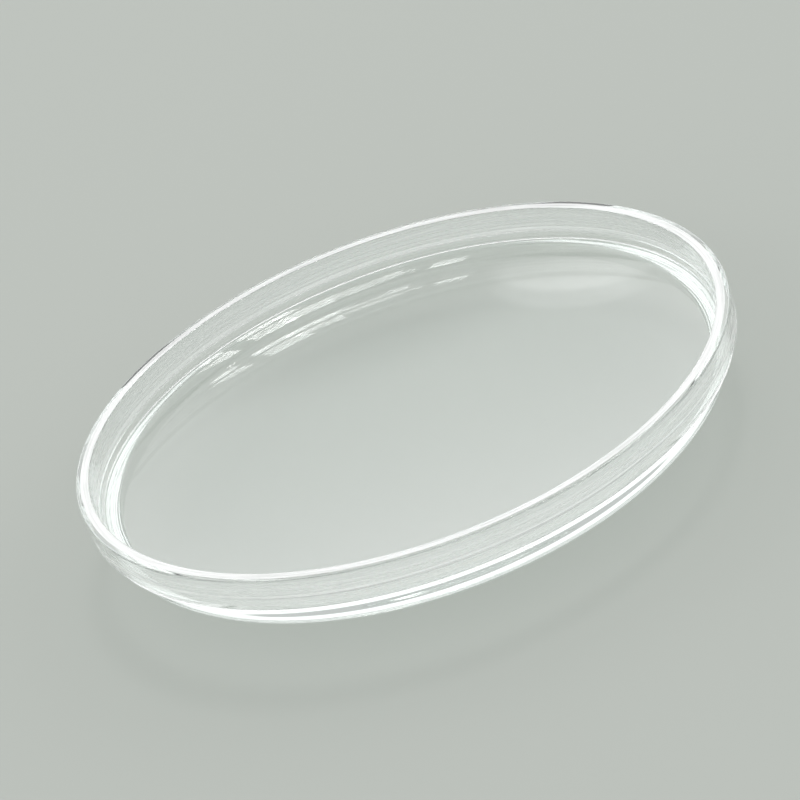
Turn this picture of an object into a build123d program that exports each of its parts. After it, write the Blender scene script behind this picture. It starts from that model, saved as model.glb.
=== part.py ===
from build123d import *
import os
from math import atan2, degrees

# Domed plastic watch crystal, turned in one piece, in millimetres.
# It lies on its dome with the open side up. The origin is the crown, which is the outermost point
# of the dome, on the axis. +Z runs from there through the open side, into the watch case.

# Skirt: the straight wall that the case grips, and the counterbore inside it
wall_diameter = 32.0
wall_height = 1.30
rim_thickness = 0.67
rim_chamfer = 0.08
bore_depth = 1.25
bore_edge_break = 0.05

# Ledge at the inner end of the counterbore, and the short throat beyond it
ledge_width = 0.18
throat_height = 0.37
corner_radius = 0.10

# Sloping step that draws the outside in beyond the gripped wall, and the flat ring it ends at
step_width = 0.22
step_height = 0.50
lip_width = 0.36

# Shoulder, which rounds off the outside from an upright start, and the dome, which meets it at a soft edge
shoulder_width = 0.77
shoulder_height = 1.45
dome_rise = 1.55
crown_thickness = 1.43

# Places that follow from the sizes above, as radii from the axis and depths below the rim
wall_radius = wall_diameter / 2
bore_radius = wall_radius - rim_thickness
throat_radius = bore_radius - ledge_width
throat_end = bore_depth + throat_height
step_radius = wall_radius - step_width
step_end = wall_height + step_height
neck_radius = step_radius - lip_width
dome_edge_radius = neck_radius - shoulder_width
shoulder_end = step_end + shoulder_height
crown_depth = shoulder_end + dome_rise
hollow_depth = crown_depth - crown_thickness
hollow_rise = hollow_depth - throat_end - corner_radius

right_angle = 90
on_its_side = (right_angle, 0, 0)


def edge_slope(rise, centre_radius):
    """Slope in degrees of a dome where it runs off tangent to the round at its edge.

    The dome rises this far past the round, whose centre lies centre_radius from the axis,
    and it is level at the axis.
    """
    return 2 * degrees(atan2(rise, centre_radius))


def dome_radius(rise, centre_radius, round_radius):
    """Radius of the sphere that such a dome is cut from."""
    height = rise + round_radius
    return (centre_radius**2 + height**2 - round_radius**2) / (2 * rise)


inner_centre = throat_radius - corner_radius
inner_sphere = dome_radius(hollow_rise, inner_centre, corner_radius)

# Half section of the piece: its first axis is the radius, its second the depth below the rim
section = Plane(origin=(0, 0, crown_depth), x_dir=(1, 0, 0), z_dir=(0, 1, 0))

# The hollow that the watch's dial and hands look into
with BuildPart() as hollow:
    with BuildSketch(section):
        with BuildLine():
            Polyline(
                (0, 0),
                (bore_radius + bore_edge_break, 0),
                (bore_radius, bore_edge_break),
                (bore_radius, bore_depth),
                (throat_radius, bore_depth),
                (throat_radius, throat_end),
            )
            corner = JernArc(
                start=(throat_radius, throat_end),
                tangent=(0, 1),
                radius=corner_radius,
                arc_size=right_angle - edge_slope(hollow_rise, inner_centre),
            )
            Polyline(corner @ 1, ((corner @ 1).X, hollow_depth), (0, hollow_depth), (0, 0))
        make_face()
    revolve(axis=Axis.Z)
    with Locations((0, 0, crown_thickness + inner_sphere)):
        Sphere(inner_sphere, rotation=on_its_side, mode=Mode.INTERSECT)

with BuildPart() as crystal:
    with BuildSketch(section):
        with BuildLine():
            Polyline(
                (0, 0),
                (wall_radius - rim_chamfer, 0),
                (wall_radius, rim_chamfer),
                (wall_radius, wall_height),
                (step_radius, step_end),
                (neck_radius, step_end),
            )
            TangentArc((neck_radius, step_end), (dome_edge_radius, shoulder_end), tangent=(0, 1))
            TangentArc((0, crown_depth), (dome_edge_radius, shoulder_end), tangent=(1, 0))
            Line((0, crown_depth), (0, 0))
        make_face()
    revolve(axis=Axis.Z)
    add(hollow.part, mode=Mode.SUBTRACT)

crystal.part.label = "crystal"
os.makedirs("parts", exist_ok=True)
export_step(crystal.part, "parts/crystal.step")
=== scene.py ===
import math
import random
import bpy
from mathutils import Matrix, Vector


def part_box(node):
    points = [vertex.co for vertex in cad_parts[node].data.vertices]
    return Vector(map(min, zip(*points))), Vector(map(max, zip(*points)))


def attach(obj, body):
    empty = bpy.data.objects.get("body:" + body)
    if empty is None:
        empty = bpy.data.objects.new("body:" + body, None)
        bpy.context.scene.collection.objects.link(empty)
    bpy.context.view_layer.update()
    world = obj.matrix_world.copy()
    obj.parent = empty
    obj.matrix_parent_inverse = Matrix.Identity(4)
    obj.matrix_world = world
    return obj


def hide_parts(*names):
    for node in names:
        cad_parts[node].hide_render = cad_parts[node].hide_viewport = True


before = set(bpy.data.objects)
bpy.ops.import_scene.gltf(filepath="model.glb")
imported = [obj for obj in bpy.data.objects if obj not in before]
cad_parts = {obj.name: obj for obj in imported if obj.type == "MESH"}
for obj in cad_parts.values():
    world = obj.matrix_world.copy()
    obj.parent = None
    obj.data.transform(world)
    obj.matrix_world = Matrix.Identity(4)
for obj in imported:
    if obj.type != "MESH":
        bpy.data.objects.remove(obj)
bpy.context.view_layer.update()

MM = 0.001
NODE = "crystal"
BODY = "root"

# Sizes of the piece's half section in millimetres. The CAD box gives the wall's radius and the height.
box_low, box_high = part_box(NODE)
wall_radius = (box_high.x - box_low.x) / 2 / MM
rim_height = box_high.z / MM
wall_height = 1.30
rim_thickness = 0.67
rim_chamfer = 0.08
bore_depth = 1.25
bore_edge_break = 0.05
ledge_width = 0.18
throat_height = 0.37
corner_radius = 0.10
step_width = 0.22
step_height = 0.50
lip_width = 0.36
shoulder_width = 0.77
shoulder_height = 1.45
crown_thickness = 1.43

# Finer sizes: the round that wear gave the step's edge, the narrow upright land above it, the part of
# the rim that stayed clear, outside the matt one, and the deepest line that the turning left in a wall
worn_edge = 0.04
land_height = 0.16
clear_rim = 0.15
line_depth = 0.0003

# Places that follow from the sizes, as radii from the axis and heights above the crown
bore_radius = wall_radius - rim_thickness
throat_radius = bore_radius - ledge_width
step_radius = wall_radius - step_width
neck_radius = step_radius - lip_width
rim_edge_radius = wall_radius - rim_chamfer
wall_foot = rim_height - wall_height
lip = wall_foot - step_height
ledge = rim_height - bore_depth
throat_foot = ledge - throat_height

# How cloudy each stretch of the section is: 0 is polished, and from 1 on most of it is matt
POLISHED = 0.0
EDGE = 0.03
STEP = 0.12
TURNED = 0.42
SCUFFED = 0.9
RIM = 1.15

# The lines of a turned wall: how many, how their cloudiness varies as a share of TURNED, and which
# are scuffed, counted up from the foot of the outer wall and down from the rim in the bore
WALL_LINES = 12
LINE_SEED = 7
LEAST_CLOUDY = 0.6
CLOUDY_SPREAD = 0.8
OUTER_SCUFFS = (5,)
BORE_SCUFFS = (11, 12)

# How finely the section is turned into faces, and from what angle on an edge shows
SEGMENTS = 512
ROUND_STEPS = 20
DOME_STEPS = 32
EDGE_STEPS = 6
ON_AXIS = 1e-9
SHARP_ANGLE = math.radians(20)


def tangent_arc(start, direction, end, steps):
    """Points after the start of the arc that leaves it in a unit direction and runs to the end.

    They lie closer together toward both ends, so that the shading runs on without a kink.
    """
    start = Vector(start)
    ahead = Vector(direction)
    chord = Vector(end) - start
    side = math.copysign(1, ahead.x * chord.y - ahead.y * chord.x)
    aside = Vector((-ahead.y, ahead.x)) * side
    offset = chord.dot(aside)
    radius = chord.length_squared / (2 * offset)
    sweep = 2 * math.atan2(offset, chord.dot(ahead))
    points = []
    for i in range(1, steps + 1):
        turn = sweep * (1 - math.cos(math.pi * i / steps)) / 2
        forward = ahead * radius * math.sin(turn)
        sideways = aside * radius * (1 - math.cos(turn))
        points.append(tuple(start + forward + sideways))
    return points


def backwards(arc, start):
    """An arc's points the other way round, without its end, which another arc has given already."""
    return arc[-2::-1] + [start]


def corner_end():
    """Where the round corner in the hollow runs tangent into the dome's underside."""
    centre_radius = throat_radius - corner_radius
    rise = throat_foot - corner_radius - crown_thickness
    slope = 2 * math.atan2(rise, centre_radius)
    return (
        centre_radius + corner_radius * math.sin(slope),
        throat_foot - corner_radius * math.cos(slope),
    )


def turned_wall(radius, start, end, into, scuffed):
    """Stretches along an upright wall, whose lines differ in depth and in how cloudy they are.

    Into is 1 or -1, the way from the wall's face into the plastic.
    """
    chance = random.Random(LINE_SEED)
    stretches = []
    for line in range(1, WALL_LINES + 1):
        depth = line_depth * chance.random()
        finish = TURNED * (LEAST_CLOUDY + CLOUDY_SPREAD * chance.random())
        if line == WALL_LINES:
            depth = 0
        if line in scuffed:
            finish = SCUFFED
        height = start + (end - start) * line / WALL_LINES
        stretches.append(([(radius + into * depth, height)], finish))
    return stretches


def outside():
    """Stretches of the section from the crown over the shoulder, the lip and the step to the wall."""
    dome_edge = (neck_radius - shoulder_width, lip - shoulder_height)
    dome = tangent_arc((0, 0), (1, 0), dome_edge, DOME_STEPS)
    shoulder = tangent_arc((neck_radius, lip), (0, -1), dome_edge, ROUND_STEPS)
    lip_edge = (step_radius - worn_edge, lip)
    worn = tangent_arc(lip_edge, (1, 0), (step_radius, lip + worn_edge), EDGE_STEPS)
    return [
        ([(0, 0)] + dome, POLISHED),
        (backwards(shoulder, (neck_radius, lip)), POLISHED),
        ([lip_edge], TURNED),
        (worn, EDGE),
        ([(step_radius, lip + land_height)], EDGE),
        ([(wall_radius, wall_foot)], STEP),
    ]


def skirt():
    """Stretches of both walls and of the rim between them, from the outer wall's foot to the ledge."""
    chamfer_foot = rim_height - rim_chamfer
    break_foot = rim_height - bore_edge_break
    outer_edge = (rim_edge_radius, rim_height)
    inner_edge = (bore_radius + bore_edge_break, rim_height)
    chamfer = tangent_arc((wall_radius, chamfer_foot), (0, 1), outer_edge, EDGE_STEPS)
    edge_break = tangent_arc(inner_edge, (-1, 0), (bore_radius, break_foot), EDGE_STEPS)
    rim = [
        (chamfer, EDGE),
        ([(rim_edge_radius - clear_rim, rim_height)], EDGE),
        ([inner_edge], RIM),
        (edge_break, EDGE),
    ]
    outer_wall = turned_wall(wall_radius, wall_foot, chamfer_foot, -1, OUTER_SCUFFS)
    bore_wall = turned_wall(bore_radius, break_foot, ledge, 1, BORE_SCUFFS)
    return outer_wall + rim + bore_wall


def hollow():
    """Stretches of the ledge, the throat, the round corner and the dome's underside."""
    corner = tangent_arc((throat_radius, throat_foot), (0, -1), corner_end(), ROUND_STEPS)
    underside = tangent_arc((0, crown_thickness), (1, 0), corner_end(), DOME_STEPS)
    return [
        ([(throat_radius, ledge)], EDGE),
        ([(throat_radius, throat_foot)], EDGE),
        (corner, POLISHED),
        (backwards(underside, (0, crown_thickness)), POLISHED),
    ]


def ring(radius, height):
    """Vertices of one ring round the axis, or the one on the axis."""
    if radius < ON_AXIS:
        return [(0, 0, height * MM)]
    angles = [math.tau * k / SEGMENTS for k in range(SEGMENTS)]
    return [(radius * math.cos(a) * MM, radius * math.sin(a) * MM, height * MM) for a in angles]


def lathe(name, stretches):
    """A closed mesh turned from the section. Its faces carry their stretch's finish."""
    points = []
    finishes = []
    for stretch, finish in stretches:
        points += stretch
        finishes += [finish] * len(stretch)
    verts = []
    rings = []
    for radius, height in points:
        added = ring(radius, height)
        rings.append([len(verts) + k % len(added) for k in range(SEGMENTS)])
        verts += added
    faces = []
    face_finish = []
    for lower, upper, finish in zip(rings, rings[1:], finishes[1:]):
        for k in range(SEGMENTS):
            following = (k + 1) % SEGMENTS
            corners = (lower[k], lower[following], upper[following], upper[k])
            # At the axis two corners are one vertex, and the face is a triangle
            faces.append(tuple(dict.fromkeys(corners)))
            face_finish.append(finish)
    mesh = bpy.data.meshes.new(name)
    mesh.from_pydata(verts, [], faces)
    mesh.polygons.foreach_set("use_smooth", [True] * len(faces))
    attribute = mesh.attributes.new("finish", "FLOAT", "FACE")
    attribute.data.foreach_set("value", face_finish)
    mesh.set_sharp_from_angle(angle=SHARP_ANGLE)
    mesh.update()
    piece = bpy.data.objects.new(name, mesh)
    bpy.context.scene.collection.objects.link(piece)
    return piece


class Nodes:
    """Shorthand for building one node tree."""

    # Sockets of a Mix node that mixes colours
    MIX_FACTOR = 0
    MIX_FIRST = 6
    MIX_SECOND = 7
    MIX_RESULT = 2

    def __init__(self, tree):
        self.tree = tree

    def add(self, kind, **settings):
        node = self.tree.nodes.new("ShaderNode" + kind)
        for key, value in settings.items():
            setattr(node, key, value)
        return node

    def link(self, source, target):
        self.tree.links.new(source, target)

    def math(self, operation, first, second):
        node = self.add("Math", operation=operation)
        for socket, value in zip(node.inputs, (first, second)):
            if isinstance(value, (int, float)):
                socket.default_value = value
            else:
                self.link(value, socket)
        return node.outputs[0]

    def map_range(self, value, low, high, start=0.0, end=1.0, interpolation="LINEAR"):
        """Goes from low to high while the value goes from start to end."""
        node = self.add("MapRange", interpolation_type=interpolation)
        node.inputs["From Min"].default_value = start
        node.inputs["From Max"].default_value = end
        node.inputs["To Min"].default_value = low
        node.inputs["To Max"].default_value = high
        self.link(value, node.inputs["Value"])
        return node.outputs["Result"]


def new_material(name):
    material = bpy.data.materials.new(name)
    material.use_nodes = True
    nodes = Nodes(material.node_tree)
    return material, nodes, material.node_tree.nodes["Principled BSDF"]


def turning_streaks(nodes):
    """Fine streaks that run round the axis, so many to the metre across their run and along it."""
    across = 12000.0
    along = 300.0
    detail = 3.0
    coords = nodes.add("TexCoord")
    parts = nodes.add("SeparateXYZ")
    nodes.link(coords.outputs["Object"], parts.inputs[0])
    flat = nodes.add("CombineXYZ")
    nodes.link(parts.outputs["X"], flat.inputs["X"])
    nodes.link(parts.outputs["Y"], flat.inputs["Y"])
    radius = nodes.add("VectorMath", operation="LENGTH")
    nodes.link(flat.outputs[0], radius.inputs[0])
    run = nodes.math("ADD", radius.outputs["Value"], parts.outputs["Z"])
    place = nodes.add("CombineXYZ")
    nodes.link(nodes.math("MULTIPLY", run, across), place.inputs["X"])
    nodes.link(nodes.math("MULTIPLY", parts.outputs["X"], along), place.inputs["Y"])
    nodes.link(nodes.math("MULTIPLY", parts.outputs["Y"], along), place.inputs["Z"])
    streaks = nodes.add("TexNoise", noise_dimensions="3D")
    streaks.inputs["Scale"].default_value = 1.0
    streaks.inputs["Detail"].default_value = detail
    nodes.link(place.outputs[0], streaks.inputs["Vector"])
    return streaks.outputs["Fac"]


def let_lamps_through(nodes, shader, finish):
    """Lamps reach the floor through it, as through any clear piece, and leave a faint shadow."""
    clear_tint = (0.95, 0.96, 0.955, 1)
    matt_tint = (0.30, 0.33, 0.31, 1)
    tint = nodes.add("Mix", data_type="RGBA")
    nodes.link(finish, tint.inputs[nodes.MIX_FACTOR])
    tint.inputs[nodes.MIX_FIRST].default_value = clear_tint
    tint.inputs[nodes.MIX_SECOND].default_value = matt_tint
    through = nodes.add("BsdfTransparent")
    nodes.link(tint.outputs[nodes.MIX_RESULT], through.inputs["Color"])
    ray = nodes.add("LightPath")
    passing = nodes.math("MAXIMUM", ray.outputs["Is Shadow Ray"], ray.outputs["Is Diffuse Ray"])
    which = nodes.add("MixShader")
    nodes.link(passing, which.inputs["Fac"])
    nodes.link(shader.outputs[0], which.inputs[1])
    nodes.link(through.outputs[0], which.inputs[2])
    return which.outputs[0]


def clear_plastic():
    """Clear acrylic: polished where light passes to the dial, turned on the walls, matt on the rim."""
    acrylic_ior = 1.49
    streak_depth = 0.0004 * MM
    least_rough, most_rough = 0.01, 0.06
    least_matt, most_matt = 0.3, 1.1
    material, nodes, shader = new_material("clear_plastic")
    shader.inputs["IOR"].default_value = acrylic_ior
    shader.inputs["Base Color"].default_value = (0.985, 1.0, 0.992, 1)
    finish = nodes.add("Attribute", attribute_name="finish").outputs["Fac"]
    streaks = turning_streaks(nodes)
    rough = nodes.math("MULTIPLY", nodes.map_range(streaks, least_rough, most_rough), finish)
    nodes.link(rough, shader.inputs["Roughness"])
    cloudy = nodes.math("MULTIPLY", nodes.map_range(streaks, least_matt, most_matt), finish)
    nodes.link(nodes.math("SUBTRACT", 1.0, cloudy), shader.inputs["Transmission Weight"])
    bump = nodes.add("Bump")
    bump.inputs["Distance"].default_value = streak_depth
    nodes.link(nodes.math("MULTIPLY", streaks, finish), bump.inputs["Height"])
    nodes.link(bump.outputs["Normal"], shader.inputs["Normal"])
    output = nodes.tree.nodes["Material Output"]
    nodes.link(let_lamps_through(nodes, shader, finish), output.inputs["Surface"])
    depth = nodes.add("VolumeAbsorption")
    depth.inputs["Color"].default_value = (0.70, 0.94, 0.84, 1)
    depth.inputs["Density"].default_value = 6.0
    nodes.link(depth.outputs[0], output.inputs["Volume"])
    return material


def make_floor():
    """A plain pale grey floor, just under the crown."""
    reach = 3.0
    gap = 0.02 * MM
    corners = [(x * reach, y * reach, -gap) for x, y in ((-1, -1), (1, -1), (1, 1), (-1, 1))]
    mesh = bpy.data.meshes.new("floor")
    mesh.from_pydata(corners, [], [(0, 1, 2, 3)])
    floor = bpy.data.objects.new("floor", mesh)
    bpy.context.scene.collection.objects.link(floor)
    material, nodes, shader = new_material("floor_grey")
    shader.inputs["Base Color"].default_value = (0.49, 0.52, 0.485, 1)
    shader.inputs["Roughness"].default_value = 0.8
    shader.inputs["Specular IOR Level"].default_value = 0.2
    mesh.materials.append(material)


def facing(azimuth, elevation, tilt):
    """Axes of something that faces the crystal, in a matrix's columns: width, height, the way to it.

    Azimuth runs from +Y, clockwise seen from above. The tilt turns it about the line to the crystal.
    All three are in degrees.
    """
    lean = math.radians(elevation)
    turn = math.radians(azimuth)
    level = math.cos(lean)
    toward = Vector((math.sin(turn) * level, math.cos(turn) * level, math.sin(lean)))
    upright = toward.to_track_quat("Z", "Y").to_matrix()
    return upright @ Matrix.Rotation(math.radians(tilt), 3, "Z")


def window_light(nodes, direction, azimuth, elevation, width, height, tilt, strength):
    """Light of a far oval window with soft edges, its sizes as seen from the crystal in degrees."""
    solid_share = 0.7
    faded_share = 1.15
    axes = facing(azimuth, elevation, tilt)
    reach = nodes.add("CombineXYZ")
    for socket, axis, size in zip(reach.inputs, (axes.col[0], axes.col[1]), (width, height)):
        along = nodes.add("VectorMath", operation="DOT_PRODUCT")
        nodes.link(direction, along.inputs[0])
        along.inputs[1].default_value = axis / math.radians(size / 2)
        nodes.link(along.outputs["Value"], socket)
    away = nodes.add("VectorMath", operation="LENGTH")
    nodes.link(reach.outputs[0], away.inputs[0])
    return nodes.map_range(away.outputs["Value"], strength, 0.0, solid_share, faded_share, "SMOOTHSTEP")


def make_world():
    """A soft studio: pale walls all round, a darker ceiling and a window beyond the crystal."""
    wall_light = 1.3
    ceiling_light = 0.6
    wall_top = math.sin(math.radians(38))
    ceiling_edge = math.sin(math.radians(48))
    world = bpy.data.worlds.new("studio")
    bpy.context.scene.world = world
    world.use_nodes = True
    nodes = Nodes(world.node_tree)
    direction = nodes.add("TexCoord").outputs["Generated"]
    parts = nodes.add("SeparateXYZ")
    nodes.link(direction, parts.inputs[0])
    height = parts.outputs["Z"]
    level = nodes.map_range(height, wall_light, ceiling_light, wall_top, ceiling_edge, "SMOOTHSTEP")
    window = window_light(
        nodes,
        direction,
        azimuth=-7.1,
        elevation=40.2,
        width=1.9,
        height=10.5,
        tilt=11,
        strength=0.9,
    )
    background = world.node_tree.nodes["Background"]
    nodes.link(nodes.math("ADD", level, window), background.inputs["Strength"])
    background.inputs["Color"].default_value = (1.0, 1.0, 1.0, 1)


# The photograph's view, fitted to the rim's two ellipses, with places in the picture in pixels
PICTURE_SIZE = 800
RIM_CENTRE_X = 397.68
RIM_CENTRE_Y = 378.49
RIM_HALF_AXIS = 340.79
CAMERA_DISTANCE = 10 * rim_edge_radius
CAMERA_ELEVATION = math.radians(27.6965)
CAMERA_ROLL = math.radians(-20.3781)
SENSOR_WIDTH = 36.0


def make_camera():
    """The camera, aimed so that the rim's centre comes to its place in the picture."""
    data = bpy.data.cameras.new("camera")
    camera = bpy.data.objects.new("camera", data)
    bpy.context.scene.collection.objects.link(camera)
    bpy.context.scene.camera = camera
    back = Vector((0, -math.cos(CAMERA_ELEVATION), math.sin(CAMERA_ELEVATION)))
    level_right = Vector((1, 0, 0))
    level_up = back.cross(level_right)
    right = level_right * math.cos(CAMERA_ROLL) + level_up * math.sin(CAMERA_ROLL)
    up = level_up * math.cos(CAMERA_ROLL) - level_right * math.sin(CAMERA_ROLL)
    focal_pixels = RIM_HALF_AXIS * CAMERA_DISTANCE / rim_edge_radius
    per_pixel = CAMERA_DISTANCE / focal_pixels
    aside = right * (PICTURE_SIZE / 2 - RIM_CENTRE_X) * per_pixel
    above = up * (RIM_CENTRE_Y - PICTURE_SIZE / 2) * per_pixel
    place = (Vector((0, 0, rim_height)) + back * CAMERA_DISTANCE + aside + above) * MM
    turned = Matrix((right, up, back)).transposed().to_4x4()
    camera.matrix_world = Matrix.Translation(place) @ turned
    data.sensor_width = SENSOR_WIDTH
    data.lens = SENSOR_WIDTH * focal_pixels / PICTURE_SIZE
    data.clip_start = 1 * MM
    data.clip_end = 10.0


def softbox(name, azimuth, elevation, width, height, tilt=0, radiance=24):
    """A rectangular lamp that faces the crystal, its sizes as seen from there in degrees."""
    distance = 4.0
    axes = facing(azimuth, elevation, tilt)
    data = bpy.data.lights.new(name, "AREA")
    data.shape = "RECTANGLE"
    data.size = distance * math.radians(width)
    data.size_y = distance * math.radians(height)
    data.energy = radiance * math.pi * data.size * data.size_y
    lamp = bpy.data.objects.new(name, data)
    bpy.context.scene.collection.objects.link(lamp)
    lamp.matrix_world = Matrix.Translation(axes.col[2] * distance) @ axes.to_4x4()


def make_lamps():
    """A soft lamp, and the row of small lamps that glints in the far edge of the dome."""
    softbox("key", azimuth=28, elevation=60, width=11.5, height=11.5, radiance=8)
    softbox("strip", azimuth=2.9, elevation=48.95, width=1.8, height=1.0, tilt=18)
    softbox("strip_middle", azimuth=4.5, elevation=48.0, width=1.8, height=1.2, tilt=42)
    softbox("strip_end", azimuth=6.55, elevation=45.6, width=2.0, height=0.6, tilt=64)
    softbox("strip_start", azimuth=0.0, elevation=49.45, width=2.4, height=0.6, radiance=7)
    softbox("short_strip", azimuth=-3.75, elevation=48.25, width=1.25, height=0.4, tilt=-48)
    softbox("spark_near", azimuth=-1.99, elevation=49.22, width=0.2, height=0.2, radiance=70)
    softbox("spark_far", azimuth=-2.33, elevation=49.05, width=0.2, height=0.2, radiance=70)


# Light goes to and fro in the clear wall many times before it leaves it
CLEAR_BOUNCES = 40
GLOSS_BOUNCES = 16

scene = bpy.context.scene
scene.view_settings.view_transform = "Standard"
scene.cycles.max_bounces = CLEAR_BOUNCES
scene.cycles.transmission_bounces = CLEAR_BOUNCES
scene.cycles.glossy_bounces = GLOSS_BOUNCES
make_camera()
make_world()
make_floor()
make_lamps()

crystal = lathe("clear_crystal", outside() + skirt() + hollow())
crystal.data.materials.append(clear_plastic())
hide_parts(NODE)
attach(crystal, BODY)
